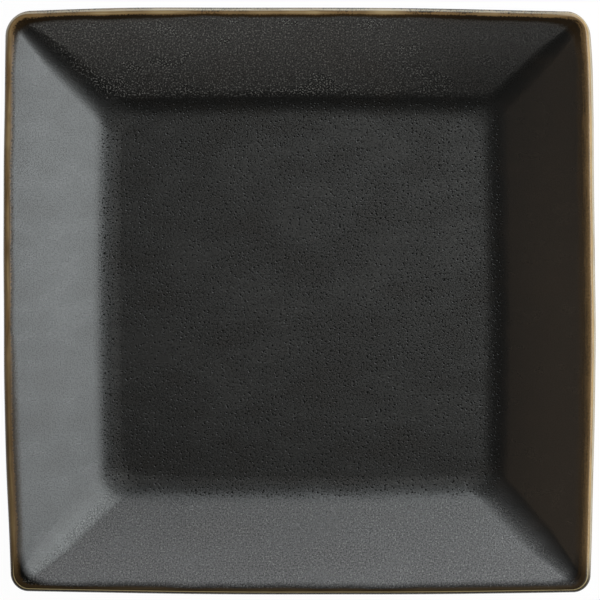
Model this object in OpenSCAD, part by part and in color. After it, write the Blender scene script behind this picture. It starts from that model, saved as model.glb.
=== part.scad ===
// Square stoneware plate: a pressed clay body with a bare foot ring, under coats of fired glaze.
// Millimetres. The origin is the centre of the plane that the foot ring stands on, with Z up.

/* [Plan] */
// Side of the plate across the lip, at the middle of a side
plate_side = 260; // [210:1:320]
// How far each side of the lip bows outwards
side_bow = 1.6; // [0.4:0.1:4]
// Corner radius of the lip's outer edge, seen from above
lip_corner_r = 8; // [6:0.5:20]
// Corner radius of the valley where two walls meet under the lip, seen from above
valley_corner_r = 4.5; // [2:0.5:10]

/* [Well] */
// Side of the well, where the plane of its floor would meet the walls
well_side = 172; // [140:1:195]
// How far each side of the well bows outwards
well_bow = 1.2; // [0.4:0.1:3]
// Corner radius of the well, seen from above
well_corner_r = 6.5; // [4:0.5:18]
// Depth of the well's floor below the top of the lip
well_depth = 19.5; // [12:0.5:35]
// Radius of the curve between the floor and a wall
well_fillet_r = 24; // [6:1:40]
// Radius of the wall itself, which is gently hollowed from the well to the lip
wall_r = 350; // [200:10:2000]

/* [Thickness] */
// Thickness of the floor, glaze included
floor_t = 5; // [3:0.1:8]
// Thickness of a wall at the well's edge, glaze included
wall_t = 5.2; // [3:0.1:8]
// Thickness of the lip, which is rounded all the way over
lip_t = 4.4; // [3:0.1:7]
// Thickness of each coat of glaze
glaze_t = 0.4; // [0.2:0.05:0.8]
// Width of the rim coat past the rounded lip, on each face of the wall
rim_band = 1.2; // [0.5:0.1:4]

/* [Underside] */
// Radius of the curve between the underside and a wall
base_fillet_r = 28; // [8:1:40]
// Flat left on the underside between that curve and the foot ring
foot_gap = 3; // [1:0.5:20]
// Width of the foot ring
foot_w = 5; // [3:0.5:8]
// Height of the foot ring
foot_h = 2.5; // [1.5:0.1:6]
// Rounding of the foot ring's two lower edges
foot_edge_r = 0.8; // [0.3:0.1:1.2]
// Corner radius of the foot ring's outer side, seen from above
foot_corner_r = 9.5; // [9:0.5:18]

/* [Smoothness] */
// Facets along each bowed side
side_steps = 6; // [4:2:12]
// Facets round each corner
corner_steps = 8; // [6:2:12]
// Facets along each fillet of the section
fillet_steps = 6; // [4:1:8]
// Facets up each face of a wall
wall_steps = 3; // [2:1:6]
// Turn of one facet over the lip and round the foot ring's edges, in degrees
round_step = 22.5; // [15:0.5:30]

/* [Hidden] */

// Half sides and heights of the glazed plate
plate_half = plate_side / 2;
well_half = well_side / 2;
floor_z = foot_h + floor_t;
plate_height = floor_z + well_depth;

// The section, as [half side, height]: a wall is bounded by two long arcs, each tangent to the round
// lip. The face's arc passes through the well's edge and the back's arc clears it by the wall's thickness.
lip_r = lip_t / 2;
back_r = wall_r + wall_t;
well_edge = [well_half, floor_z];
lip_centre = [plate_half - lip_r, plate_height - lip_r];
face_centre = crossing(well_edge, wall_r, lip_centre, wall_r + lip_r);
back_centre = crossing(well_edge, back_r - wall_t, lip_centre, back_r - lip_r);

// Each fillet rests on a level plane and is tangent to the arc of its wall
well_fillet_centre = nested(face_centre, wall_r, well_fillet_r, floor_z);
base_fillet_centre = nested(back_centre, back_r, base_fillet_r, foot_h);

// Headings from the centres of the two long arcs, where each meets its fillet, the rim coat and the lip
face_low = heading(face_centre, well_fillet_centre);
face_high = heading(face_centre, lip_centre);
face_rim = face_high - rim_band / wall_r * 180 / PI;
back_low = heading(back_centre, base_fillet_centre);
back_high = heading(back_centre, lip_centre);
back_rim = back_high - rim_band / back_r * 180 / PI;

foot_half = base_fillet_centre.x - foot_gap;
foot_inner_half = foot_half - foot_w;
foot_mid_half = foot_half - foot_w / 2;

function heading(from, to) = atan2(to.y - from.y, to.x - from.x);

// The upper of the two points that lie r1 from p1 and r2 from p2
function crossing(p1, r1, p2, r2) =
    let (
        apart = norm(p2 - p1),
        along = (apart * apart + r1 * r1 - r2 * r2) / (2 * apart),
        aside = sqrt(r1 * r1 - along * along),
        way = (p2 - p1) / apart
    )
    p1 + along * way + aside * [-way.y, way.x];

// Centre of a circle of radius r that rests on the level z inside a larger circle and touches it
function nested(centre, outer_r, r, z) =
    let (rise = z + r - centre.y)
    [centre.x + sqrt(pow(outer_r - r, 2) - rise * rise), z + r];

// Points of an arc, both ends included
function arc(centre, r, from, to, steps) = [
    for (k = [0 : steps])
        let (a = from + (to - from) * k / steps)
            centre + r * [cos(a), sin(a)]
];
function round_arc(centre, r, from, to) = arc(centre, r, from, to, ceil(abs(to - from) / round_step));

function without_first(path) = [for (k = [1 : len(path) - 1]) path[k]];
function reversed(path) = [for (k = [len(path) - 1 : -1 : 0]) path[k]];

// Paths along the section, sunk below the glazed surface by inset
function face_path(inset) = concat(
    [[foot_inner_half, floor_z - inset]],
    arc(well_fillet_centre, well_fillet_r + inset, -90, face_low, fillet_steps),
    without_first(arc(face_centre, wall_r + inset, face_low, face_rim, wall_steps))
);
function rim_path(inset) = concat(
    arc(face_centre, wall_r + inset, face_rim, face_high, 1),
    without_first(round_arc(lip_centre, lip_r - inset, face_high + 180, 90)),
    without_first(round_arc(lip_centre, lip_r - inset, 90, 0)),
    without_first(round_arc(lip_centre, lip_r - inset, 0, back_high)),
    without_first(arc(back_centre, back_r - inset, back_high, back_rim, 1))
);
function back_path(inset) = concat(
    arc(back_centre, back_r - inset, back_rim, back_low, wall_steps),
    without_first(arc(base_fillet_centre, base_fillet_r - inset, back_low, -90, fillet_steps)),
    [[foot_half, foot_h + inset]]
);
function foot_path() = concat(
    round_arc([foot_half - foot_edge_r, foot_edge_r], foot_edge_r, 0, -90),
    round_arc([foot_inner_half + foot_edge_r, foot_edge_r], foot_edge_r, -90, -180),
    [[foot_inner_half, foot_h + glaze_t]]
);

// A coat of glaze between its outer surface and the clay
function coat(outer, clay) = concat(outer, reversed(clay));

// Bow and corner radius of the plan at a given half side
function bow_at(half) = lookup(half, [[well_half, well_bow], [plate_half, side_bow]]);
function corner_r_at(half) = lookup(half, [
    [foot_inner_half, foot_corner_r - foot_w],
    [foot_half, foot_corner_r],
    [well_half, well_corner_r],
    [plate_half - lip_t, valley_corner_r],
    [plate_half, lip_corner_r]
]);

function turned(p, quarter) = [
    p.x * cos(90 * quarter) - p.y * sin(90 * quarter),
    p.x * sin(90 * quarter) + p.y * cos(90 * quarter)
];

// One level of the plan: four long arcs, each tangent to the corner arcs beside it, anticlockwise
function outline(half) =
    let (
        bow = bow_at(half),
        r = corner_r_at(half),
        side_r = (half * half + bow * bow) / (2 * bow),
        past = side_r - half,
        corner = (sqrt(2 * pow(side_r - r, 2) - past * past) - past) / 2,
        meet = atan2(corner, corner + past),
        quarter = concat(
            without_first(arc([-past, 0], side_r, -meet, meet, side_steps)),
            without_first(arc([corner, corner], r, meet, 90 - meet, corner_steps))
        )
    )
    [for (q = [0 : 3]) for (p = quarter) turned(p, q)];

// Carries a closed section path round the plan, as one hoop of triangles
module hoop(path) {
    rings = [for (s = path) [for (p = outline(s.x)) [p.x, p.y, s.y]]];
    count = len(rings[0]);
    levels = len(rings);
    faces = [
        for (k = [0 : levels - 1])
            for (i = [0 : count - 1])
                let (
                    here = k * count,
                    there = ((k + 1) % levels) * count,
                    j = (i + 1) % count
                )
                each [
                    [here + i, here + j, there + j],
                    [here + i, there + j, there + i]
                ]
    ];
    polyhedron(points = [for (r = rings) each r], faces = faces, convexity = 6);
}

// The level middle of a layer, out to a given half side
module slab(half, low, high) {
    translate([0, 0, low]) linear_extrude(high - low) polygon(outline(half));
}

module stoneware_body() {
    color("tan") {
        hoop(concat(
            face_path(glaze_t),
            without_first(rim_path(glaze_t)),
            without_first(back_path(glaze_t)),
            foot_path()
        ));
        slab(foot_mid_half, foot_h + glaze_t, floor_z - glaze_t);
    }
}

module face_glaze() {
    color([0.17, 0.17, 0.16]) {
        hoop(coat(face_path(0), face_path(glaze_t)));
        slab(foot_mid_half, floor_z - glaze_t, floor_z);
    }
}

module rim_glaze() {
    color([0.42, 0.35, 0.25]) hoop(coat(rim_path(0), rim_path(glaze_t)));
}

module back_glaze() {
    color([0.15, 0.14, 0.13]) hoop(coat(back_path(0), back_path(glaze_t)));
}

module foot_recess_glaze() {
    color([0.15, 0.14, 0.13]) slab(foot_inner_half, foot_h, foot_h + glaze_t);
}

stoneware_body();
face_glaze();
rim_glaze();
back_glaze();
foot_recess_glaze();
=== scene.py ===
"""Looks of the square stoneware plate: clay under satin black glaze that breaks brown over the lip.

Everything is in metres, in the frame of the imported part: the origin is the middle of the plane that
the foot ring stands on, and +Z points up out of the well.
"""

import logging
import math
from dataclasses import dataclass, field
from enum import Enum
from typing import Any, Callable, Mapping, Optional, Sequence, Tuple, Union

import bpy
import numpy as np
from mathutils import Matrix, Vector


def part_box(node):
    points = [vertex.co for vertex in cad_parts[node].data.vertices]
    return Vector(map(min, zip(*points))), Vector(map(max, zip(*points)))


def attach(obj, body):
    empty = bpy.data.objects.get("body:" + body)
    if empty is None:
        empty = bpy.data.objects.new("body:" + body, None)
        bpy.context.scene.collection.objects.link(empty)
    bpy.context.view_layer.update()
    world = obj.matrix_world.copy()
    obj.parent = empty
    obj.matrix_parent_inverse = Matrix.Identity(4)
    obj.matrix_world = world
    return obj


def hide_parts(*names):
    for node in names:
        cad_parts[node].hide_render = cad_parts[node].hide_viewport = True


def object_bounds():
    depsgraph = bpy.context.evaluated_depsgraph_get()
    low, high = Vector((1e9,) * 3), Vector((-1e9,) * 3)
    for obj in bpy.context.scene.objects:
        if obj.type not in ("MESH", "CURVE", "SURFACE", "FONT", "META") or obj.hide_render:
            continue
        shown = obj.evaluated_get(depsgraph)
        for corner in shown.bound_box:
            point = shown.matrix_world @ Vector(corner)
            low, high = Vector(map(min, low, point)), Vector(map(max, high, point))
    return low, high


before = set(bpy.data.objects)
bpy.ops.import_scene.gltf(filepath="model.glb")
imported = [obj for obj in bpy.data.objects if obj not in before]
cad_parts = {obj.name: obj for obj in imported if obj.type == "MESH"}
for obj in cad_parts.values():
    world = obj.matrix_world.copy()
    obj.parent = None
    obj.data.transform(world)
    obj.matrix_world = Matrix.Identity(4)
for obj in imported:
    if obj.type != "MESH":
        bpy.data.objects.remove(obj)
CAD_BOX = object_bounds()

LOG = logging.getLogger("square_plate")
BODY = "root"
LIP_REACH = "lip_reach"
MM = 0.001
# The middle of noise, which runs from 0 to 1
MIDDLE = 0.5
# The angle between two faces past which their edge isn't shaded smooth
SHARP = math.radians(40.0)
# Cosine and sine of each quarter turn
QUARTER_TURNS = ((1, 0), (0, 1), (-1, 0), (0, -1))

Colour = Tuple[float, float, float]
Axes = Tuple[float, float, float]
Span = Tuple[float, float]
Number = Union[float, "Value"]

BLACK: Colour = (0.0036, 0.0034, 0.0030)
WHITE: Colour = (1.0, 1.0, 1.0)
DAYLIGHT: Colour = (0.96, 0.98, 1.0)


class Slot(Enum):
    """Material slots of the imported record."""

    CLAY = "bare_stoneware"
    GLAZE = "satin_black_glaze"
    RIM = "brown_rim_glaze"


class Closing(Enum):
    """How the rows of a shell close: into a hoop, or on a pole at each end."""

    HOOP = "hoop"
    POLES = "poles"


class Fill(Enum):
    """Whether a pattern fills space, or varies only over x and y."""

    SPACE = "3D"
    PLAN = "2D"


class Value:
    """A number that varies over a surface; arithmetic on it adds Math nodes."""

    def __init__(self, graph: "Graph", socket: bpy.types.NodeSocket) -> None:
        """Wraps one output socket of a graph."""
        self.graph = graph
        self.socket = socket

    def _math(self, operation: str, first: Number, second: Number) -> "Value":
        """Adds one Math node.

        Args:
            operation: The Math node's operation.
            first: Its first operand.
            second: Its second operand.

        Returns:
            The node's result.
        """
        return self.graph.value("ShaderNodeMath", {"operation": operation}, {0: first, 1: second})

    def __add__(self, other: Number) -> "Value":
        """Sum."""
        return self._math("ADD", self, other)

    def __radd__(self, other: Number) -> "Value":
        """Sum, with the number first."""
        return self._math("ADD", other, self)

    def __sub__(self, other: Number) -> "Value":
        """Difference."""
        return self._math("SUBTRACT", self, other)

    def __rsub__(self, other: Number) -> "Value":
        """Difference, with the number first."""
        return self._math("SUBTRACT", other, self)

    def __mul__(self, other: Number) -> "Value":
        """Product."""
        return self._math("MULTIPLY", self, other)

    def __rmul__(self, other: Number) -> "Value":
        """Product, with the number first."""
        return self._math("MULTIPLY", other, self)

    def __abs__(self) -> "Value":
        """Distance from zero."""
        return self._math("ABSOLUTE", self, 0.0)

    def at_least(self, other: Number) -> "Value":
        """The larger of the two."""
        return self._math("MAXIMUM", self, other)

    def step(self, low: Number, high: Number) -> "Value":
        """Eases from 0 at low to 1 at high, and the other way round where low is the larger.

        Args:
            low: Where the result is 0.
            high: Where the result is 1.

        Returns:
            The eased step.
        """
        return self.graph.value(
            "ShaderNodeMapRange",
            {"interpolation_type": "SMOOTHSTEP"},
            {"Value": self, "From Min": low, "From Max": high},
        )


class Graph:
    """A node tree that is written as expressions."""

    smallest_spot: float = 0.4
    spot_edge: Span = (1.2, 0.5)
    chance_edge: float = 0.02

    def __init__(self, tree: bpy.types.NodeTree) -> None:
        """Starts from an empty tree."""
        self.tree = tree
        tree.nodes.clear()

    def node(
        self,
        kind: str,
        settings: Optional[Mapping[str, Any]] = None,
        inputs: Optional[Mapping[Union[str, int], Any]] = None,
    ) -> bpy.types.Node:
        """Adds a node, sets it up, then gives its sockets their values or links.

        Args:
            kind: The node's type.
            settings: Properties of the node, which are set first.
            inputs: A number, colour, Value or output socket for each input, by name or place.

        Returns:
            The node.
        """
        node = self.tree.nodes.new(kind)
        for name, setting in (settings or {}).items():
            setattr(node, name, setting)
        for key, given in (inputs or {}).items():
            self.feed(self._input(node, key), given)
        return node

    def feed(self, socket: bpy.types.NodeSocket, given: Any) -> None:
        """Gives an input socket its value or its link.

        Args:
            socket: The input.
            given: A number, a colour, a Value or an output socket.
        """
        if isinstance(given, Value):
            given = given.socket
        if isinstance(given, bpy.types.NodeSocket):
            self.tree.links.new(given, socket)
        elif socket.type == "RGBA":
            socket.default_value = (*given, 1.0)
        else:
            socket.default_value = given

    @staticmethod
    def _input(node: bpy.types.Node, key: Union[str, int]) -> bpy.types.NodeSocket:
        """Finds an input of a node.

        Args:
            node: The node.
            key: The input's place, or the name of one that is in use.

        Returns:
            The input.
        """
        if isinstance(key, int):
            return node.inputs[key]
        return next(s for s in node.inputs if s.enabled and s.name == key)

    def value(
        self,
        kind: str,
        settings: Optional[Mapping[str, Any]] = None,
        inputs: Optional[Mapping[Union[str, int], Any]] = None,
        output: Union[str, int] = 0,
    ) -> Value:
        """Adds a node and wraps one of its outputs.

        Args:
            kind: The node's type.
            settings: Properties of the node.
            inputs: Values or links of its sockets.
            output: The output to take, by name or place.

        Returns:
            The wrapped output.
        """
        return Value(self, self.node(kind, settings, inputs).outputs[output])

    def mix(self, share: Number, first: Any, second: Any) -> bpy.types.NodeSocket:
        """Mixes two colours.

        Args:
            share: Share of the second colour.
            first: A colour or a socket.
            second: A colour or a socket.

        Returns:
            The mixed colour's socket.
        """
        node = self.node(
            "ShaderNodeMix", {"data_type": "RGBA"}, {"Factor": share, "A": first, "B": second}
        )
        return next(s for s in node.outputs if s.enabled)

    def noise(
        self, place: bpy.types.NodeSocket, size: float, detail: float, fill: Fill = Fill.SPACE
    ) -> Value:
        """Smooth noise around its middle, 0.5.

        Args:
            place: Coordinates in metres.
            size: Size of one blotch, in metres.
            detail: Octaves of finer noise on top.
            fill: Whether the noise fills space.

        Returns:
            The noise.
        """
        return self.value(
            "ShaderNodeTexNoise",
            {"noise_dimensions": fill.value},
            {"Vector": place, "Scale": 1.0 / size, "Detail": detail},
        )

    def spots(
        self, place: bpy.types.NodeSocket, spacing: float, radius: float, share: float
    ) -> Value:
        """Round spots of random size seen from above, at most one in each cell of a random pattern.

        Args:
            place: Coordinates in metres.
            spacing: Size of a cell, in metres.
            radius: Radius of the largest spot, in metres.
            share: Share of the cells that hold a spot.

        Returns:
            1 inside a spot, easing to 0 at its edge.
        """
        cells = self.node(
            "ShaderNodeTexVoronoi",
            {"voronoi_dimensions": Fill.PLAN.value},
            {"Vector": place, "Scale": 1.0 / spacing},
        )
        chance = self.node("ShaderNodeSeparateColor", None, {0: cells.outputs["Color"]})
        size, luck = (Value(self, output) for output in chance.outputs[:2])
        width = (size * (1.0 - self.smallest_spot) + self.smallest_spot) * (radius / spacing)
        kept = luck.step(share + self.chance_edge, share - self.chance_edge)
        rim, core = self.spot_edge
        return Value(self, cells.outputs["Distance"]).step(width * rim, width * core) * kept

    def parts(self, place: bpy.types.NodeSocket) -> Tuple[Value, Value, Value]:
        """The x, y and z of coordinates."""
        node = self.node("ShaderNodeSeparateXYZ", None, {0: place})
        return tuple(Value(self, output) for output in node.outputs)

    def stretched(self, place: bpy.types.NodeSocket, scale: Axes) -> bpy.types.NodeSocket:
        """Coordinates scaled along each axis."""
        return self.node(
            "ShaderNodeVectorMath", {"operation": "MULTIPLY"}, {0: place, 1: scale}
        ).outputs[0]


@dataclass(frozen=True)
class Surface:
    """What varies over a finish: colour, roughness, relief in metres, and spots without shine."""

    colour: bpy.types.NodeSocket
    roughness: Value
    relief: Value
    dull: Value
    dull_colour: Any


@dataclass(frozen=True)
class Finish:
    """A finish: a Principled shader with relief, broken by small spots that have no shine."""

    shine: float = 0.5

    def material(self, name: str) -> bpy.types.Material:
        """Makes the material.

        Args:
            name: The material's name.

        Returns:
            The material.
        """
        material = bpy.data.materials.new(name)
        material.use_nodes = True
        graph = Graph(material.node_tree)
        surface = self.surface(graph, graph.node("ShaderNodeTexCoord").outputs["Object"])
        bump = graph.node(
            "ShaderNodeBump", None, {"Strength": 1.0, "Distance": 1.0, "Height": surface.relief}
        ).outputs[0]
        shiny = graph.node(
            "ShaderNodeBsdfPrincipled",
            None,
            {
                "Base Color": surface.colour,
                "Roughness": surface.roughness,
                "Specular IOR Level": self.shine,
                "Normal": bump,
            },
        )
        dull = graph.node(
            "ShaderNodeBsdfPrincipled",
            None,
            {"Base Color": surface.dull_colour, "Roughness": 1.0, "Specular IOR Level": 0.0},
        )
        both = graph.node(
            "ShaderNodeMixShader",
            None,
            {0: surface.dull, 1: shiny.outputs[0], 2: dull.outputs[0]},
        )
        graph.node("ShaderNodeOutputMaterial", None, {"Surface": both.outputs[0]})
        return material

    def surface(self, graph: Graph, place: bpy.types.NodeSocket) -> Surface:
        """Works out what varies over the finish.

        Args:
            graph: The material's graph.
            place: Coordinates on the plate, in metres.

        Returns:
            The varying inputs of the shader.
        """
        raise NotImplementedError


@dataclass(frozen=True)
class Shares:
    """A number that differs on some stretches of the lip."""

    elsewhere: float
    front: float = 0.0
    right: float = 0.0
    left: float = 0.0
    back: float = 0.0
    back_ends: float = 0.0
    back_corners: float = 0.0
    back_right: float = 0.0
    near_left: float = 0.0
    far_left: float = 0.0

    def along(self, stretches: Mapping[str, Value]) -> Number:
        """Adds what each stretch has more or less to the number elsewhere.

        Args:
            stretches: How far each stretch of the lip has set in, from 0 to 1, by name.

        Returns:
            The number along the lip.
        """
        total: Number = self.elsewhere
        for name, stretch in stretches.items():
            share = getattr(self, name)
            if share:
                total = total + stretch * share
        return total


@dataclass(frozen=True)
class LipPlace:
    """Where a point lies on the lip, and in which streak and feather of the glaze.

    The reach is the plain distance from the crest, negative outside it. The distance away is made
    uneven by streaks and runs. The ragged one is also feathered, and is shorter on the side lips.
    """

    stretches: Mapping[str, Value]
    streak: Value
    feather: Value
    reach: Value
    away: Value
    ragged: Value


@dataclass(frozen=True)
class Band:
    """A band of colour beside the crest, which a pinch above 1 makes narrower."""

    reach: float
    full: Shares
    pinch: Shares

    def on(self, lip: LipPlace) -> Value:
        """How strong the band is.

        Args:
            lip: The place on the lip.

        Returns:
            1 up to the full share of the band's reach, easing to 0 at its reach.
        """
        distance = lip.ragged * self.pinch.along(lip.stretches)
        return distance.step(self.reach, self.full.along(lip.stretches) * self.reach)


@dataclass(frozen=True)
class Line:
    """A thin line along the lip, at a distance from the crest."""

    reach: float
    width: float
    core: float

    def on(self, distance: Value) -> Value:
        """1 in the line's core, easing to 0 at its width."""
        return abs(distance - self.reach).step(self.width, self.core * self.width)


@dataclass(frozen=True)
class BrokenLip:
    """The lip, where the glaze thins and breaks into bands of dark brown, brown, tan and gold.

    On the side lips the bands reach further in, with dark notches in the brown on the left. The
    front lip stays dark, with a thin gold line painted along its edge as a highlight. The right
    one turns gold outside the crest, and the right and back ones have a light line painted
    outside the crest as a highlight. Next to the crest a dark seam doesn't shine.
    """

    dark_brown: Colour = (0.026, 0.0155, 0.0068)
    brown: Colour = (0.130, 0.078, 0.033)
    tan: Colour = (0.245, 0.176, 0.088)
    gold: Colour = (0.350, 0.205, 0.056)
    # Painted highlight: the thin gold line along the front lip's outer edge
    painted_edge_highlight: Colour = (0.340, 0.270, 0.140)
    # Painted highlight: a light line painted outside the right and back crests
    painted_highlight: Colour = (0.440, 0.405, 0.320)

    side_span: Span = (108.0 * MM, 125.0 * MM)
    corner_span: Span = (226.0 * MM, 248.0 * MM)
    back_ends_span: Span = (35.0 * MM, 80.0 * MM)
    back_corners_span: Span = (30.0 * MM, 110.0 * MM)
    back_right_span: Span = (20.0 * MM, 90.0 * MM)
    near_left_span: Span = (0.0, -60.0 * MM)
    far_left_span: Span = (-20.0 * MM, 40.0 * MM)

    streak_size: float = 0.7 * MM
    streak_squeeze: float = 0.05
    streak_sway: float = 0.5 * MM
    run_size: float = 22.0 * MM
    run_sway: float = 2.2 * MM
    feather_size: float = 0.9 * MM
    feather_sway: float = 1.4 * MM
    feathering: Shares = Shares(1.0, right=-0.4, left=-0.2)
    outer_spread: float = 0.25
    corner_draw: float = 0.35
    inward: Shares = Shares(1.0, right=-0.7, left=-0.38)

    dark_band: Band = Band(
        reach=2.4 * MM,
        full=Shares(0.35),
        pinch=Shares(1.0, front=1.0, back=-0.25, back_ends=-0.35, near_left=-0.35, far_left=0.2),
    )
    front_black: float = 0.4
    ends_black: float = 0.55
    seam_band: Band = Band(
        reach=2.4 * MM,
        full=Shares(0.1, back=0.45),
        pinch=Shares(1.0, front=-0.45, back_ends=-0.35, near_left=-0.35, far_left=0.2),
    )
    seam_end: Span = (-1.5 * MM, -0.7 * MM)
    seam_draw: Shares = Shares(0.0, right=-0.9 * MM)
    seam_share: Shares = Shares(0.6, front=0.3, left=0.1, back=0.35, near_left=0.2)
    brown_band: Band = Band(
        reach=1.1 * MM,
        full=Shares(0.4, right=-0.4),
        pinch=Shares(1.0, back=0.4, back_right=0.7),
    )
    brown_front: Shares = Shares(1.0, front=-0.92)
    brown_left: Shares = Shares(1.0, near_left=-0.35)
    brown_streak: Span = (0.35, 0.62)
    brown_streaked: float = 0.25
    notch_line: Line = Line(reach=1.2 * MM, width=0.65 * MM, core=0.3)
    notch_feather: Span = (0.48, 0.62)
    notch_share: Shares = Shares(0.0, front=0.4, left=0.75)
    tan_span: Span = (0.5 * MM, -0.3 * MM)
    tan_draw: Shares = Shares(0.0, back=0.1 * MM, back_right=0.2 * MM)
    tan_front: Shares = Shares(1.0, front=-0.95)
    tan_left: Shares = Shares(1.0, left=-0.4, near_left=-0.25, far_left=0.25)
    tan_streak: Span = (0.1, 0.6)
    gold_start: Span = (0.1 * MM, -0.9 * MM)
    gold_end: Span = (-4.0 * MM, -2.2 * MM)
    # Where the front's painted highlight lies, just outside the crest
    edge_highlight_line: Line = Line(reach=-0.9 * MM, width=0.32 * MM, core=0.2)
    # Where the painted highlight lies, outside the right and back crests
    highlight_line: Line = Line(reach=-1.7 * MM, width=0.85 * MM, core=0.1)
    highlight_draw: Shares = Shares(0.0, right=0.2 * MM)
    highlight_share: Shares = Shares(0.8, right=0.15, back_corners=-0.3)
    highlight_streak: Span = (0.15, 0.5)

    def stretches(self, x: Value, y: Value) -> Mapping[str, Value]:
        """Marks out the stretches of the lip.

        Args:
            x: Place across the plate, in metres.
            y: Place from front to back, in metres.

        Returns:
            How far each stretch has set in, from 0 to 1, by name.
        """
        low, high = self.side_span
        left, back = x.step(-low, -high), y.step(low, high)
        return {
            "front": y.step(-low, -high),
            "right": x.step(low, high),
            "left": left,
            "back": back,
            "back_ends": back * abs(x).step(*self.back_ends_span),
            "back_corners": back * abs(x).step(*self.back_corners_span),
            "back_right": back * x.step(*self.back_right_span),
            "near_left": left * y.step(*self.near_left_span),
            "far_left": left * y.step(*self.far_left_span),
        }

    def find(self, graph: Graph, place: bpy.types.NodeSocket) -> LipPlace:
        """Finds where a point lies on the lip.

        Args:
            graph: The material's graph.
            place: Coordinates on the plate, in metres.

        Returns:
            The place on the lip.
        """
        x, y, _ = graph.parts(place)
        on = self.stretches(x, y)
        reach = graph.value("ShaderNodeAttribute", {"attribute_name": LIP_REACH}, None, "Fac")
        squeezed = {0: x * self.streak_squeeze, 1: y * self.streak_squeeze, 2: reach}
        along_lip = graph.node("ShaderNodeCombineXYZ", None, squeezed).outputs[0]
        streak = graph.noise(along_lip, self.streak_size, detail=2.0)
        run = graph.noise(place, self.run_size, detail=3.0)
        feather = graph.noise(place, self.feather_size, detail=3.0, fill=Fill.PLAN)
        in_corner = (abs(x) + y).step(*self.corner_span)
        away = reach.at_least(reach * -self.outer_spread) * (1.0 - in_corner * self.corner_draw)
        away = away + (streak - MIDDLE) * self.streak_sway + (run - MIDDLE) * self.run_sway
        sway = (feather - MIDDLE) * self.feathering.along(on) + (streak - MIDDLE) * on["right"]
        ragged = away * self.inward.along(on) + sway * self.feather_sway
        return LipPlace(on, streak, feather, reach, away, ragged)

    def seam(self, lip: LipPlace) -> Value:
        """Share of the dark seam that doesn't shine, which ends a little outside the crest."""
        inside = (lip.reach + self.seam_draw.along(lip.stretches)).step(*self.seam_end)
        return self.seam_band.on(lip) * inside * self.seam_share.along(lip.stretches)

    def browned(self, lip: LipPlace) -> Value:
        """Share of brown, which streaks along the lip thin out.

        Args:
            lip: The place on the lip.

        Returns:
            The share.
        """
        on = lip.stretches
        streaked = lip.streak.step(*self.brown_streak) * self.brown_streaked
        browned = self.brown_band.on(lip) * (streaked + (1.0 - self.brown_streaked))
        return browned * self.brown_front.along(on) * self.brown_left.along(on)

    def tanned(self, lip: LipPlace) -> Value:
        """Share of tan on the crest, of gold outside the right crest, and of the front's painted gold
        highlight.

        Args:
            lip: The place on the lip.

        Returns:
            The share.
        """
        on = lip.stretches
        crest = (lip.away + self.tan_draw.along(on)).step(*self.tan_span)
        outside = lip.reach.step(*self.gold_start) * lip.reach.step(*self.gold_end)
        tanned = (crest + (outside - crest) * on["right"]) * lip.streak.step(*self.tan_streak)
        tanned = tanned * self.tan_front.along(on) * self.tan_left.along(on)
        # Adds the front's painted highlight, a thin gold line outside the crest
        return tanned + self.edge_highlight_line.on(lip.reach) * on["front"]

    def notched(self, lip: LipPlace) -> Value:
        """Share of the dark notches between the feathers of the brown."""
        notch = self.notch_line.on(lip.ragged) * lip.feather.step(*self.notch_feather)
        return notch * self.notch_share.along(lip.stretches)

    def shoulder_highlight(self, lip: LipPlace) -> Value:
        """Share of the painted highlight, a light line outside the right and back crests.

        Args:
            lip: The place on the lip.

        Returns:
            The share.
        """
        on = lip.stretches
        shoulder_highlight = self.highlight_line.on(lip.reach + self.highlight_draw.along(on))
        shoulder_highlight = shoulder_highlight * on["right"].at_least(on["back"]) * (1.0 - on["front"])
        return shoulder_highlight * lip.streak.step(*self.highlight_streak) * self.highlight_share.along(on)

    def broken(
        self, graph: Graph, place: bpy.types.NodeSocket, colour: bpy.types.NodeSocket
    ) -> Tuple[bpy.types.NodeSocket, Value, Value, Value]:
        """Breaks the glaze over the lip.

        Args:
            graph: The material's graph.
            place: Coordinates on the plate, in metres.
            colour: The glaze's colour away from the lip.

        Returns:
            The broken colour, its shares of tan and of brown, and the share that doesn't shine.
        """
        lip = self.find(graph, place)
        on = lip.stretches
        browned, tanned, notch = self.browned(lip), self.tanned(lip), self.notched(lip)
        blackened = (on["front"] * self.front_black).at_least(on["back_ends"] * self.ends_black)
        dark = graph.mix(blackened, self.dark_brown, BLACK)
        tan = graph.mix(on["right"], self.tan, self.gold)
        colour = graph.mix(self.dark_band.on(lip), colour, dark)
        colour = graph.mix(browned, colour, self.brown)
        colour = graph.mix(notch, colour, self.dark_brown)
        # On the front the tan gives way to the gold line of the painted highlight
        colour = graph.mix(tanned, colour, graph.mix(on["front"], tan, self.painted_edge_highlight))
        # Paints the light highlight line outside the right and back crests
        colour = graph.mix(self.shoulder_highlight(lip), colour, self.painted_highlight)
        return colour, tanned, browned, self.seam(lip).at_least(notch)


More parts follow.
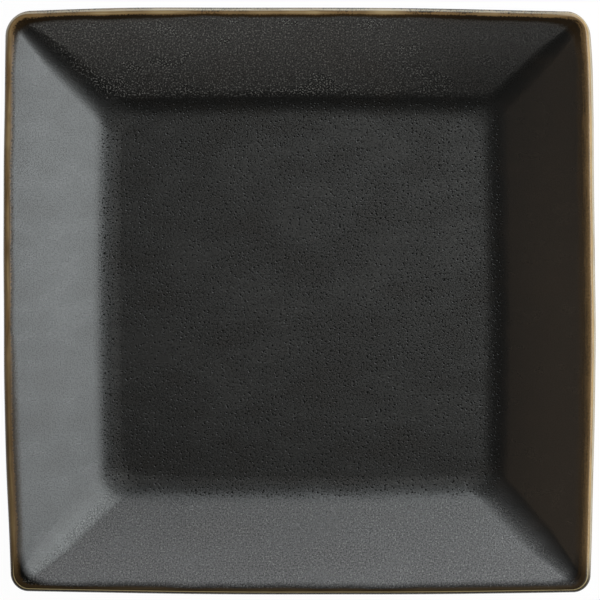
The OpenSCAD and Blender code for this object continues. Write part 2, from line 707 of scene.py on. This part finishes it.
@dataclass(frozen=True)
class BreakingGlaze(Finish):
    """Satin black glaze, finely pitted in the well, which breaks brown and tan over the lip."""

    shine: float = 0.68
    lip: BrokenLip = BrokenLip()
    warm_black: Colour = (0.0068, 0.0052, 0.0039)
    # Painted highlight: grey glints that stand in for light catching the grain
    painted_glint_grey: Colour = (0.105, 0.100, 0.093)
    pit_black: Colour = (0.0030, 0.0028, 0.0025)
    roughness: float = 0.28
    cloud_roughness: float = 0.08
    tan_roughness: float = 0.12

    well_span: Span = (9.5 * MM, 8.3 * MM)
    grainy_span: Span = (-1.0 * MM, 3.0 * MM)
    still_span: Span = (80.0 * MM, 92.0 * MM)

    cloud_size: float = 12.0 * MM
    cloud_stretch: Axes = (0.5, 1.0, 1.0)
    warm_span: Span = (0.45, 0.8)
    haze_span: Span = (0.35, 0.7)
    haze: float = 0.04
    well_haze: float = 0.12
    swell_size: float = 9.0 * MM
    swell_stretch: Axes = (0.6, 1.0, 1.0)
    swell_height: float = 0.018 * MM
    grain_size: float = 0.6 * MM
    grain_height: float = 0.045 * MM
    fleck_span: Span = (0.42, 0.66)
    flecks: float = 0.28
    well_flecks: float = 0.36
    grainy_flecks: float = 0.25
    still_flecks: float = -0.15
    pit_spacing: float = 2.0 * MM
    pit_radius: float = 0.46 * MM
    pit_share: float = 0.9
    pit_depth: float = 0.08 * MM

    # Where the painted glints lie, grey specks that stand in for light catching the grain
    glint_size: float = 0.75 * MM
    glint_stretch: Axes = (1.0, -1.1, 1.0)
    glint_span: Span = (0.57, 0.70)
    glint_level: Span = (8.7 * MM, 9.9 * MM)
    back_span: Span = (1.0 * MM, 9.0 * MM)
    sparse_span: Span = (20.0 * MM, 90.0 * MM)
    sparse_loss: float = 0.7
    front_span: Span = (0.0, -20.0 * MM)
    front_share: float = 0.45

    def surface(self, graph: Graph, place: bpy.types.NodeSocket) -> Surface:
        """Clouded black, with dull flecks, pits in the well and painted grey glints on two walls.

        The walls to the front and back are grainy, and the one to the right is still.

        Args:
            graph: The material's graph.
            place: Coordinates on the plate, in metres.

        Returns:
            The varying inputs of the shader.
        """
        x, y, z = graph.parts(place)
        clouded = graph.stretched(place, self.cloud_stretch)
        swollen = graph.stretched(place, self.swell_stretch)
        cloud = graph.noise(clouded, self.cloud_size, detail=3.0)
        grain = graph.noise(place, self.grain_size, detail=2.0, fill=Fill.PLAN)
        swell = graph.noise(swollen, self.swell_size, detail=1.0)
        in_well = z.step(*self.well_span)
        grainy = (abs(y) - abs(x)).step(*self.grainy_span) * (1.0 - in_well)
        still = x.step(*self.still_span) * (1.0 - grainy)
        pit = graph.spots(place, self.pit_spacing, self.pit_radius, self.pit_share) * in_well

        colour = graph.mix(cloud.step(*self.warm_span), BLACK, self.warm_black)
        # Paints grey glints on the front and back walls, highlights of the grain
        colour = graph.mix(self.painted_glints(graph, place, grainy), colour, self.painted_glint_grey)
        colour, tanned, browned, matt = self.lip.broken(graph, place, colour)
        roughness = self.roughness + (cloud - MIDDLE) * self.cloud_roughness
        roughness = roughness + tanned * self.tan_roughness
        relief = grain * self.grain_height + swell * self.swell_height - pit * self.pit_depth
        flecks = in_well * self.well_flecks + grainy * self.grainy_flecks
        flecks = self.flecks + flecks + still * self.still_flecks
        haze = cloud.step(*self.haze_span) * (in_well * self.well_haze + self.haze)
        fleck = grain.step(*self.fleck_span) * flecks + haze
        dull = (pit + fleck * (1.0 - pit)) * (1.0 - browned) * (1.0 - matt)
        dull_colour = graph.mix(matt.at_least(browned), self.pit_black, colour)
        return Surface(colour, roughness, relief, dull + matt, dull_colour)

    def painted_glints(self, graph: Graph, place: bpy.types.NodeSocket, grainy: Value) -> Value:
        """Share of painted grey glints: on the back wall, sparser to its right, and on the front
        wall.

        Args:
            graph: The material's graph.
            place: Coordinates on the plate, in metres.
            grainy: Share of the grainy walls.

        Returns:
            The share.
        """
        # The glints are painted highlights, grey specks for light catching the grain
        x, y, z = graph.parts(place)
        on_back = (y - abs(x)).step(*self.back_span)
        on_back = on_back * (1.0 - x.step(*self.sparse_span) * self.sparse_loss)
        on_front = y.step(*self.front_span) * self.front_share
        stretched = graph.stretched(place, self.glint_stretch)
        glint = graph.noise(stretched, self.glint_size, detail=1.0, fill=Fill.PLAN)
        glint = glint.step(*self.glint_span) * grainy * (on_back + on_front)
        # The painted glints fade out low on the walls, towards the well
        return glint * z.step(*self.glint_level)


@dataclass(frozen=True)
class BareClay(Finish):
    """Fired clay without glaze: dry, speckled and toasted in clouds."""

    clay: Colour = (0.36, 0.25, 0.155)
    toasted: Colour = (0.23, 0.125, 0.062)
    speck: Colour = (0.06, 0.035, 0.022)
    cloud_size: float = 16.0 * MM
    toasted_span: Span = (0.35, 0.7)
    speck_spacing: float = 2.6 * MM
    speck_radius: float = 0.45 * MM
    speck_share: float = 0.7
    speck_strength: float = 0.8
    grit_size: float = 0.7 * MM
    grit_height: float = 0.05 * MM
    roughness: float = 0.82
    grit_roughness: float = 0.2

    def surface(self, graph: Graph, place: bpy.types.NodeSocket) -> Surface:
        """Buff clay clouded with a toasted tone, dark specks and fine grit.

        Args:
            graph: The material's graph.
            place: Coordinates on the plate, in metres.

        Returns:
            The varying inputs of the shader.
        """
        cloud = graph.noise(place, self.cloud_size, detail=4.0)
        grit = graph.noise(place, self.grit_size, detail=3.0)
        speck = graph.spots(place, self.speck_spacing, self.speck_radius, self.speck_share)
        colour = graph.mix(cloud.step(*self.toasted_span), self.clay, self.toasted)
        roughness = self.roughness + (grit - MIDDLE) * self.grit_roughness
        relief = grit * self.grit_height
        return Surface(colour, roughness, relief, speck * self.speck_strength, self.speck)


@dataclass(frozen=True)
class PaleFloor:
    """Floor that the camera and the glaze see as white, and that still takes a soft shadow."""

    colour: Colour = (0.82, 0.82, 0.81)
    glow: float = 0.97
    mirrored_glow: float = 0.4

    def material(self, name: str) -> bpy.types.Material:
        """Makes the material: a matt floor, mixed with a white glow for camera and glossy rays.

        Args:
            name: The material's name.

        Returns:
            The material.
        """
        material = bpy.data.materials.new(name)
        material.use_nodes = True
        graph = Graph(material.node_tree)
        matt = graph.node("ShaderNodeBsdfDiffuse", None, {"Color": self.colour})
        white = graph.node("ShaderNodeEmission", None, {"Color": WHITE, "Strength": 1.0})
        rays = graph.node("ShaderNodeLightPath")
        seen = Value(graph, rays.outputs["Is Camera Ray"]) * self.glow
        mirrored = Value(graph, rays.outputs["Is Glossy Ray"]) * self.mirrored_glow
        both = graph.node(
            "ShaderNodeMixShader",
            None,
            {0: seen.at_least(mirrored), 1: matt.outputs[0], 2: white.outputs[0]},
        )
        graph.node("ShaderNodeOutputMaterial", None, {"Surface": both.outputs[0]})
        return material


def arc(
    centre: Sequence[float], radius: float, start: float, end: float, count: int
) -> np.ndarray:
    """Points of an arc: the centre plus the radius along evenly spaced headings.

    Args:
        centre: Half side and height of the centre.
        radius: Radius of the arc.
        start: First heading, in radians.
        end: Last heading, in radians.
        count: Steps from the first to the last.

    Returns:
        An array of count + 1 rows of half side and height.
    """
    turn = np.linspace(start, end, count + 1)
    return np.column_stack((centre[0] + radius * np.cos(turn), centre[1] + radius * np.sin(turn)))


def crossing(p1: np.ndarray, r1: float, p2: np.ndarray, r2: float) -> np.ndarray:
    """The upper of the two points that lie r1 from p1 and r2 from p2.

    Args:
        p1: First centre.
        r1: Distance from it.
        p2: Second centre.
        r2: Distance from it.

    Returns:
        The point.
    """
    apart = np.linalg.norm(p2 - p1)
    along = (apart**2 + r1**2 - r2**2) / (2.0 * apart)
    way = (p2 - p1) / apart
    return p1 + along * way + math.sqrt(r1**2 - along**2) * np.array((-way[1], way[0]))


def nested(centre: np.ndarray, outer: float, radius: float, level: float) -> np.ndarray:
    """Centre of a circle that rests on a level inside a larger circle and touches it.

    Args:
        centre: Centre of the larger circle.
        outer: Radius of the larger circle.
        radius: Radius of the smaller circle.
        level: Height that the smaller circle rests on.

    Returns:
        The smaller circle's centre.
    """
    rise = level + radius - centre[1]
    return np.array((centre[0] + math.sqrt((outer - radius) ** 2 - rise**2), level + radius))


def heading(origin: np.ndarray, target: np.ndarray) -> float:
    """Heading from one point to another, in radians."""
    return math.atan2(target[1] - origin[1], target[0] - origin[0])


@dataclass
class Section:
    """Section of the plate, from the middle of the well over the lip to the foot ring.

    A wall lies between two long arcs that are both tangent to the round lip. Fillets lead from the
    arcs to the level floor and to the level underside. A path is rows of half side and height.
    """

    plate_half: float
    height: float
    floor_level: float
    base_level: float
    glaze: float
    well_half: float = 86.0 * MM
    wall_radius: float = 350.0 * MM
    wall_thickness: float = 5.2 * MM
    lip_thickness: float = 4.4 * MM
    well_fillet: float = 34.0 * MM
    base_fillet: float = 28.0 * MM
    rim_band: float = 1.2 * MM
    foot_gap: float = 3.0 * MM
    foot_width: float = 5.0 * MM
    foot_edge: float = 0.8 * MM
    floor_steps: int = 14
    fillet_steps: int = 24
    wall_steps: int = 40
    lip_steps: int = 10
    band_steps: int = 3
    edge_steps: int = 5

    def __post_init__(self) -> None:
        """Works out the centres and the headings where the arcs meet."""
        self.lip_radius = self.lip_thickness / 2.0
        self.back_radius = self.wall_radius + self.wall_thickness
        edge = np.array((self.well_half, self.floor_level))
        self.lip = np.array((self.plate_half, self.height)) - self.lip_radius
        self.face = crossing(edge, self.wall_radius, self.lip, self.wall_radius + self.lip_radius)
        self.back = crossing(edge, self.wall_radius, self.lip, self.back_radius - self.lip_radius)
        self.well_curve = nested(self.face, self.wall_radius, self.well_fillet, self.floor_level)
        self.base_curve = nested(self.back, self.back_radius, self.base_fillet, self.base_level)
        self.face_low = heading(self.face, self.well_curve)
        self.face_high = heading(self.face, self.lip)
        self.face_rim = self.face_high - self.rim_band / self.wall_radius
        self.back_low = heading(self.back, self.base_curve)
        self.back_high = heading(self.back, self.lip)
        self.back_rim = self.back_high - self.rim_band / self.back_radius
        self.foot_half = self.base_curve[0] - self.foot_gap
        self.foot_inner_half = self.foot_half - self.foot_width

    @classmethod
    def from_frame(cls) -> "Section":
        """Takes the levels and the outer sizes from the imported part.

        Returns:
            The section.
        """
        low, high = CAD_BOX
        recess_low, recess_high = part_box("foot_recess_glaze")
        glaze = recess_high.z - recess_low.z
        return cls(
            plate_half=(high.x - low.x) / 2.0,
            height=high.z,
            floor_level=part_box("face_glaze")[0].z + glaze,
            base_level=recess_low.z,
            glaze=glaze,
        )

    def level_path(self, level: float, half: float) -> np.ndarray:
        """Level rows from beside the middle out to a half side.

        Args:
            level: Height of the rows.
            half: Half side of the last row.

        Returns:
            The path.
        """
        halves = np.linspace(0.0, half, self.floor_steps + 1)[1:]
        return np.column_stack((halves, np.full_like(halves, level)))

    def face_path(self, inset: float) -> np.ndarray:
        """The upper face from the middle to the rim coat, sunk by inset.

        Args:
            inset: Depth below the glazed surface.

        Returns:
            The path.
        """
        floor = self.level_path(self.floor_level - inset, self.well_curve[0])
        curve = arc(
            self.well_curve,
            self.well_fillet + inset,
            -math.pi / 2.0,
            self.face_low,
            self.fillet_steps,
        )
        wall = arc(
            self.face, self.wall_radius + inset, self.face_low, self.face_rim, self.wall_steps
        )
        return np.vstack((floor, curve[1:], wall[1:]))

    def rim_path(self, inset: float) -> np.ndarray:
        """Over the lip, from the face's end of the rim coat to the back's, sunk by inset.

        Args:
            inset: Depth below the glazed surface.

        Returns:
            The path.
        """
        face_band = arc(
            self.face, self.wall_radius + inset, self.face_rim, self.face_high, self.band_steps
        )
        back_band = arc(
            self.back, self.back_radius - inset, self.back_high, self.back_rim, self.band_steps
        )
        radius = self.lip_radius - inset
        turns = (self.face_high + math.pi, math.pi / 2.0, 0.0, self.back_high)
        inner, outer, under = (
            arc(self.lip, radius, start, end, self.lip_steps)[1:]
            for start, end in zip(turns, turns[1:])
        )
        return np.vstack((face_band, inner, outer, under, back_band[1:]))

    def back_path(self, inset: float) -> np.ndarray:
        """The outside from the rim coat down to the foot ring, sunk by inset.

        Args:
            inset: Depth below the glazed surface.

        Returns:
            The path.
        """
        wall = arc(
            self.back, self.back_radius - inset, self.back_rim, self.back_low, self.wall_steps
        )
        curve = arc(
            self.base_curve,
            self.base_fillet - inset,
            self.back_low,
            -math.pi / 2.0,
            self.fillet_steps,
        )
        return np.vstack((wall, curve[1:], (self.foot_half, self.base_level + inset)))

    def foot_path(self) -> np.ndarray:
        """The foot ring from its outer side to its inner side, with both lower edges rounded.

        Returns:
            The path.
        """
        edge, down = self.foot_edge, -math.pi / 2.0
        outer = arc((self.foot_half - edge, edge), edge, 0.0, down, self.edge_steps)
        inner = arc((self.foot_inner_half + edge, edge), edge, down, -math.pi, self.edge_steps)
        return np.vstack((outer, inner, (self.foot_inner_half, self.base_level + self.glaze)))

    def body_path(self) -> np.ndarray:
        """The clay from the middle of the well over the lip and the foot to the middle below.

        Returns:
            The path.
        """
        parts = (
            self.face_path(self.glaze),
            self.rim_path(self.glaze)[1:],
            self.back_path(self.glaze)[1:],
            self.foot_path(),
            self.level_path(self.base_level + self.glaze, self.foot_inner_half)[-2::-1],
        )
        return np.vstack(parts)

    def recess_path(self) -> np.ndarray:
        """The coat inside the foot ring: out along the clay, down its edge and back below.

        Returns:
            The path.
        """
        clay = self.level_path(self.base_level + self.glaze, self.foot_inner_half)
        below = self.level_path(self.base_level, self.foot_inner_half)
        return np.vstack((clay, below[::-1]))

    def reach(self, path: np.ndarray) -> np.ndarray:
        """Straight distance of each row from the lip's crest.

        Args:
            path: Rows of half side and height.

        Returns:
            The distances, negative outside the crest.
        """
        crest = np.array((self.lip[0], self.height))
        away = np.linalg.norm(path - crest, axis=1)
        return np.where(path[:, 0] > crest[0], -away, away)


@dataclass
class Plan:
    """Plan of the plate: bowed sides that run tangent into rounded corners.

    The corner radii, and how far the valleys and the lip have set in, are given at the same half
    sides: inside and outside the foot ring, at the well, below the lip, at its seam and its edge.
    """

    halves: Sequence[float]
    corner_radii: Sequence[float]
    bow_halves: Sequence[float]
    bows: Sequence[float]
    in_valleys: Sequence[float] = (0.0, 0.0, 1.0, 1.0, 1.0, 0.0)
    at_lips: Sequence[float] = (0.0, 0.0, 0.0, 0.0, 0.0, 1.0)
    valley_shares: Sequence[float] = (0.85, 1.15, 1.1, 1.15)
    lip_shares: Sequence[float] = (1.35, 1.4, 1.0, 0.95)
    well_shift: float = 0.8 * MM

    @classmethod
    def of(cls, section: Section) -> "Plan":
        """Fits the plan to a section.

        Args:
            section: The section that is carried round.

        Returns:
            The plan, with the corner radii and bows at the half sides that set them.
        """
        foot_corner, well_corner, valley_corner = 9.5 * MM, 10.5 * MM, 9.0 * MM
        seam_corner, lip_corner = 4.0 * MM, 8.0 * MM
        well_bow, side_bow = 1.2 * MM, 1.6 * MM
        seam_half = section.plate_half - section.lip_thickness
        opening = 13.0 * MM
        return cls(
            halves=(
                section.foot_inner_half,
                section.foot_half,
                section.well_half,
                seam_half - opening,
                seam_half,
                section.plate_half,
            ),
            corner_radii=(
                foot_corner - section.foot_width,
                foot_corner,
                well_corner,
                valley_corner,
                seam_corner,
                lip_corner,
            ),
            bow_halves=(section.well_half, section.plate_half),
            bows=(well_bow, side_bow),
        )

    def carried(self, path: np.ndarray, side_steps: int, corner_steps: int) -> np.ndarray:
        """Carries a section path round the plan.

        Each row is four long side arcs, each tangent to the corner arcs beside it. Each corner has
        its own share of the radius, on the lip and in the valley under it. Rows inside the smallest
        half side shrink the plan at that half side towards the middle. From the lip to the well
        the plan moves a little to the right.

        Args:
            path: Rows of half side and height.
            side_steps: Columns along each side.
            corner_steps: Columns round each corner.

        Returns:
            Points as an array of rows, columns and x, y, z, anticlockwise from above.
        """
        half = np.maximum(path[:, :1], self.halves[0])
        shrink = path[:, :1] / half
        bow = np.interp(half, self.bow_halves, self.bows)
        in_valley = np.interp(half, self.halves, self.in_valleys)
        at_lip = np.interp(half, self.halves, self.at_lips)
        shares = 1.0 + in_valley * (np.array(self.valley_shares) - 1.0)
        shares = shares + at_lip * (np.array(self.lip_shares) - 1.0)
        radii = np.interp(half, self.halves, self.corner_radii) * shares
        side_radius = (half**2 + bow**2) / (2.0 * bow)
        past = side_radius - half
        corners = (np.sqrt(2.0 * (side_radius - radii) ** 2 - past**2) - past) / 2.0
        meets = np.arctan2(corners, corners + past)
        along = np.linspace(-1.0, 1.0, side_steps + 1)[1:]
        round_corner = np.linspace(0.0, 1.0, corner_steps + 1)[1:]
        columns = []
        for quarter, (cos, sin) in enumerate(QUARTER_TURNS):
            corner, radius, meet = (a[:, quarter, None] for a in (corners, radii, meets))
            side = np.where(along > 0.0, meet, meets[:, quarter - 1, None]) * along
            turn = meet + round_corner * (math.pi / 2.0 - 2.0 * meet)
            x = np.hstack((side_radius * np.cos(side) - past, corner + radius * np.cos(turn)))
            y = np.hstack((side_radius * np.sin(side), corner + radius * np.sin(turn)))
            columns.append(np.stack((x * cos - y * sin, x * sin + y * cos), axis=2))
        shift = np.interp(half, self.bow_halves, (self.well_shift, 0.0))
        flat = np.hstack(columns) * shrink[:, :, None] + shift[:, :, None] * (1.0, 0.0)
        level = np.broadcast_to(path[:, 1:, None], (*flat.shape[:2], 1))
        return np.concatenate((flat, level), axis=2)


@dataclass(frozen=True)
class Pull:
    """A place where the lip was pulled aside by hand, and how far around it that shows."""

    place: Tuple[float, float]
    shift: Tuple[float, float]
    spread: float


PULLS = (
    Pull((-130.0 * MM, -130.0 * MM), (1.05 * MM, 0.0), 55.0 * MM),
    Pull((-130.0 * MM, 130.0 * MM), (0.45 * MM, -0.1 * MM), 70.0 * MM),
    Pull((-83.0 * MM, 130.0 * MM), (0.0, 0.7 * MM), 40.0 * MM),
    Pull((-130.0 * MM, 50.0 * MM), (0.25 * MM, 0.0), 40.0 * MM),
    Pull((130.0 * MM, 130.0 * MM), (-0.1 * MM, -0.45 * MM), 75.0 * MM),
    Pull((130.0 * MM, 128.0 * MM), (-1.1 * MM, 0.0), 15.0 * MM),
    Pull((130.0 * MM, -130.0 * MM), (-0.25 * MM, -0.45 * MM), 60.0 * MM),
    Pull((130.0 * MM, -35.0 * MM), (0.5 * MM, 0.0), 45.0 * MM),
)


@dataclass
class Handwork:
    """Small unevenness of a hand-finished plate, the same for the clay and the coats on it."""

    still_below: float = 2.5 * MM
    full_above: float = 10.0 * MM
    seed: int = 7
    waves: int = 10
    shortest: float = 45.0 * MM
    longest: float = 160.0 * MM
    slant: Axes = (1.0, 1.0, 0.3)
    sway: float = 0.028 * MM
    pulls: Sequence[Pull] = PULLS
    drawn_in: float = 0.0022

    def __post_init__(self) -> None:
        """Draws the waves: each has a direction, a length, a phase and a vector of sway."""
        draw = np.random.default_rng(self.seed)
        towards = draw.normal(size=(self.waves, 3)) * self.slant
        towards /= np.linalg.norm(towards, axis=1)[:, None]
        length = draw.uniform(self.shortest, self.longest, self.waves)
        self.pulse = towards * (2.0 * math.pi / length)[:, None]
        self.phase = draw.uniform(0.0, 2.0 * math.pi, self.waves)
        self.drift = draw.normal(size=(self.waves, 3)) * self.sway

    def moved(self, points: np.ndarray) -> np.ndarray:
        """Moves points by a sum of sine waves through space, which fades out towards the foot.

        The lip is also pulled aside in a few places, by a bell-shaped share of the distance from
        each, and the plate is drawn in a little from front to back.

        Args:
            points: Array of points, x, y, z last.

        Returns:
            The moved points.
        """
        rise = (points[..., 2:] - self.still_below) / (self.full_above - self.still_below)
        rise = np.clip(rise, 0.0, 1.0)
        share = rise * rise * (3.0 - 2.0 * rise)
        sway = np.sin(points @ self.pulse.T + self.phase) @ self.drift
        for pull in self.pulls:
            away = np.linalg.norm(points[..., :2] - pull.place, axis=-1, keepdims=True)
            sway = sway + np.exp(-((away / pull.spread) ** 2)) * np.array((*pull.shift, 0.0))
        drawn = points * (0.0, -self.drawn_in, 0.0)
        return points + drawn + share * sway


def shell(name: str, points: np.ndarray, reach: np.ndarray, closing: Closing) -> bpy.types.Object:
    """Makes a closed mesh from rings of points, with its faces outwards.

    Quads join each ring to the next. A hoop joins the last ring to the first; otherwise a pole at
    the mean of the first ring, and one at the mean of the last, close the two ends.

    Args:
        name: Name of the piece.
        points: Array of rows, columns and x, y, z.
        reach: Distance from the lip's crest, one per row.
        closing: How the rows close.

    Returns:
        The object, at the origin.
    """
    rows, columns = points.shape[:2]
    here = np.arange(rows if closing is Closing.HOOP else rows - 1)[:, None] * columns
    there = (here + columns) % (rows * columns)
    ring = np.arange(columns)
    following = (ring + 1) % columns
    quads = np.stack((here + ring, there + ring, there + following, here + following), axis=2)
    faces = quads.reshape(-1, 4).tolist()
    vertices = points.reshape(-1, 3)
    reaches = np.repeat(reach, columns)
    if closing is Closing.POLES:
        first, last = len(vertices), len(vertices) + 1
        end = (rows - 1) * columns
        faces += np.column_stack((np.full(columns, first), ring, following)).tolist()
        faces += np.column_stack((np.full(columns, last), end + following, end + ring)).tolist()
        vertices = np.vstack((vertices, points[0].mean(axis=0), points[-1].mean(axis=0)))
        reaches = np.append(reaches, reach[[0, -1]])
    mesh = bpy.data.meshes.new(name)
    mesh.from_pydata(vertices.tolist(), [], faces)
    spread = mesh.attributes.new(LIP_REACH, "FLOAT", "POINT")
    spread.data.foreach_set("value", reaches.astype(np.float32))
    mesh.shade_smooth()
    mesh.set_sharp_from_angle(angle=SHARP)
    piece = bpy.data.objects.new(name, mesh)
    bpy.context.scene.collection.objects.link(piece)
    return piece


@dataclass
class SquarePlate:
    """The plate: a clay body with a bare foot ring, under four coats of glaze."""

    section: Section
    plan: Plan
    handwork: Handwork = field(default_factory=Handwork)
    side_steps: int = 72
    rim_side_steps: int = 200
    corner_steps: int = 24
    glaze: BreakingGlaze = field(default_factory=BreakingGlaze)
    clay: BareClay = field(default_factory=BareClay)

    def build(self) -> None:
        """Builds, dresses and ties in every piece."""
        black = self.glaze.material(Slot.GLAZE.value)
        brown = self.glaze.material(Slot.RIM.value)
        clay = self.clay.material(Slot.CLAY.value)
        section, steps, rim_steps = self.section, self.side_steps, self.rim_side_steps
        body = self.body()
        face = self.coat("face_coat", section.face_path, Closing.POLES, steps)
        rim = self.coat("rim_coat", section.rim_path, Closing.HOOP, rim_steps)
        back = self.coat("back_coat", section.back_path, Closing.HOOP, steps)
        recess = self.recess()
        self.tie(body, "stoneware_body", Slot.CLAY, clay)
        self.tie(face, "face_glaze", Slot.GLAZE, black)
        self.tie(rim, "rim_glaze", Slot.RIM, brown)
        self.tie(back, "back_glaze", Slot.GLAZE, black)
        self.tie(recess, "foot_recess_glaze", Slot.GLAZE, black)

    def loft(
        self, name: str, path: np.ndarray, reach: np.ndarray, closing: Closing, side_steps: int
    ) -> bpy.types.Object:
        """Carries a path round the plan, unevens it and closes it into a piece.

        Args:
            name: Name of the piece.
            path: Rows of half side and height.
            reach: Distance from the lip's crest, one per row.
            closing: How the rows close.
            side_steps: Columns along each side.

        Returns:
            The piece.
        """
        points = self.plan.carried(path, side_steps, self.corner_steps)
        return shell(name, self.handwork.moved(points), reach, closing)

    def body(self) -> bpy.types.Object:
        """The clay, as one closed loft from pole to pole.

        Returns:
            The piece.
        """
        path = self.section.body_path()
        reach = self.section.reach(path)
        return self.loft("clay_body", path, reach, Closing.POLES, self.side_steps)

    def coat(
        self,
        name: str,
        surface: Callable[[float], np.ndarray],
        closing: Closing,
        side_steps: int,
    ) -> bpy.types.Object:
        """A coat of glaze between its own surface and the clay.

        Args:
            name: Name of the piece.
            surface: Path of the coat at a given depth.
            closing: How its rows close.
            side_steps: Columns along each side.

        Returns:
            The piece.
        """
        outer, inner = surface(0.0), surface(self.section.glaze)
        reach = self.section.reach(outer)
        path = np.vstack((outer, inner[::-1]))
        return self.loft(name, path, np.append(reach, reach[::-1]), closing, side_steps)

    def recess(self) -> bpy.types.Object:
        """The island of glaze inside the foot ring.

        Returns:
            The piece.
        """
        path = self.section.recess_path()
        reach = self.section.reach(path)
        return self.loft("recess_coat", path, reach, Closing.POLES, self.side_steps)

    @staticmethod
    def tie(
        piece: bpy.types.Object, node: str, slot: Slot, material: bpy.types.Material
    ) -> None:
        """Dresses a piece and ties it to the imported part.

        Args:
            piece: The piece.
            node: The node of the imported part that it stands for.
            slot: Its material slot.
            material: Its finish.
        """
        piece.data.materials.append(material)
        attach(piece, BODY)
        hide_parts(node)
        LOG.info("%s stands for %s, %d faces", piece.name, node, len(piece.data.polygons))


@dataclass(frozen=True)
class Softbox:
    """A soft panel of light, placed by its direction from the plate."""

    name: str
    azimuth: float
    elevation: float
    distance: float
    width: float
    height: float
    radiance: float
    tint: Colour = WHITE

    def hang(self) -> None:
        """Hangs the panel, facing the plate; azimuth is in degrees anticlockwise from +X."""
        lamp = bpy.data.lights.new(self.name, "AREA")
        lamp.shape = "RECTANGLE"
        lamp.size, lamp.size_y = self.width, self.height
        lamp.energy = self.radiance * self.width * self.height * math.pi
        lamp.color = self.tint
        panel = bpy.data.objects.new(self.name, lamp)
        turn, rise = math.radians(self.azimuth), math.radians(self.elevation)
        away = Vector(
            (math.cos(turn) * math.cos(rise), math.sin(turn) * math.cos(rise), math.sin(rise))
        )
        panel.location = away * self.distance
        panel.rotation_mode = "QUATERNION"
        panel.rotation_quaternion = away.to_track_quat("Z", "Y")
        panel.visible_camera = False
        bpy.context.scene.collection.objects.link(panel)


# Azimuth and elevation in degrees, then distance, width and height in metres, radiance and tint
SOFTBOXES = (
    Softbox("right_window", -5.0, 45.0, 1.3, 0.52, 0.46, 6.3, (0.945, 1.0, 1.015)),
    Softbox("right_upper", -5.0, 61.5, 1.3, 0.44, 0.26, 3.6, (0.955, 1.0, 1.0)),
    Softbox("sky", 48.0, 62.0, 1.3, 0.82, 0.62, 5.7, (0.93, 0.99, 1.0)),
    Softbox("back_window", 69.0, 42.0, 1.3, 0.74, 0.36, 5.8, DAYLIGHT),
    Softbox("mid_back", 109.0, 45.0, 1.3, 0.38, 0.40, 4.1, DAYLIGHT),
    Softbox("far_back", 126.0, 52.0, 1.3, 0.40, 0.45, 2.3, DAYLIGHT),
    Softbox("far_left", 156.0, 50.0, 1.3, 0.40, 0.45, 0.5, (0.98, 0.95, 0.9)),
    Softbox("low_right", 0.0, 15.0, 1.4, 1.10, 0.40, 1.6),
    Softbox("low_back", 88.0, 15.0, 1.4, 1.10, 0.40, 1.6),
    Softbox("overhead", 300.0, 85.5, 1.3, 0.27, 0.27, 2.1, (1.0, 1.0, 0.95)),
    Softbox("front", 265.0, 31.0, 1.3, 0.48, 0.20, 2.2, (1.0, 0.98, 0.93)),
    Softbox("left_front", 216.0, 44.0, 1.3, 0.30, 0.34, 0.15, (1.0, 0.9, 0.78)),
    Softbox("left", 197.0, 38.0, 1.3, 0.60, 0.30, 0.8, (1.0, 0.76, 0.54)),
)


@dataclass
class Studio:
    """Pale floor, soft panels and the camera at the photograph's angle."""

    tilt_right: float = 1.06
    tilt_back: float = 6.3
    roll: float = -0.16
    distance: float = 3.23
    lens: float = 437.5
    aim: Axes = (0.1 * MM, -1.7 * MM, 0.0)
    clip: Span = (0.05, 40.0)
    floor_half: float = 4.0
    ambient: float = 0.03

    def build(self) -> None:
        """Sets up the floor, the light and the camera."""
        self.lay_floor()
        for softbox in SOFTBOXES:
            softbox.hang()
        self.light_room()
        self.set_camera()
        bpy.context.scene.view_settings.view_transform = "Standard"

    def lay_floor(self) -> None:
        """Lays the floor under the foot ring."""
        corners = np.array(((-1, -1, 0), (1, -1, 0), (1, 1, 0), (-1, 1, 0))) * self.floor_half
        mesh = bpy.data.meshes.new("floor")
        mesh.from_pydata(corners.tolist(), [], [(0, 1, 2, 3)])
        mesh.materials.append(PaleFloor().material("pale_floor"))
        floor = bpy.data.objects.new("floor", mesh)
        bpy.context.scene.collection.objects.link(floor)

    def light_room(self) -> None:
        """Gives the room a faint even light, and a white background for the camera."""
        world = bpy.data.worlds.new("room")
        world.use_nodes = True
        graph = Graph(world.node_tree)
        seen = graph.value("ShaderNodeLightPath", None, None, "Is Camera Ray")
        back = graph.node(
            "ShaderNodeBackground",
            None,
            {"Color": WHITE, "Strength": seen * (1.0 - self.ambient) + self.ambient},
        )
        graph.node("ShaderNodeOutputWorld", None, {"Surface": back.outputs[0]})
        bpy.context.scene.world = world

    def set_camera(self) -> None:
        """Sets the camera over the plate, tilted to the right and back, with +Y up the picture."""
        lens = bpy.data.cameras.new("camera")
        lens.lens = self.lens
        lens.clip_start, lens.clip_end = self.clip
        camera = bpy.data.objects.new("camera", lens)
        slope = (math.tan(math.radians(self.tilt_right)), math.tan(math.radians(self.tilt_back)))
        back = Vector((*slope, 1.0)).normalized()
        right = Vector((0.0, 1.0, 0.0)).cross(back).normalized()
        turn = Matrix((right, back.cross(right), back)).transposed()
        turn = turn @ Matrix.Rotation(math.radians(self.roll), 3, "Z")
        camera.matrix_world = Matrix.LocRotScale(
            Vector(self.aim) + back * self.distance, turn.to_quaternion(), None
        )
        bpy.context.scene.collection.objects.link(camera)
        bpy.context.scene.camera = camera


def main() -> None:
    """Builds the plate and the studio."""
    logging.basicConfig(level=logging.INFO, format="%(name)s: %(message)s")
    section = Section.from_frame()
    SquarePlate(section, Plan.of(section)).build()
    Studio().build()


if __name__ == "__main__":
    main()
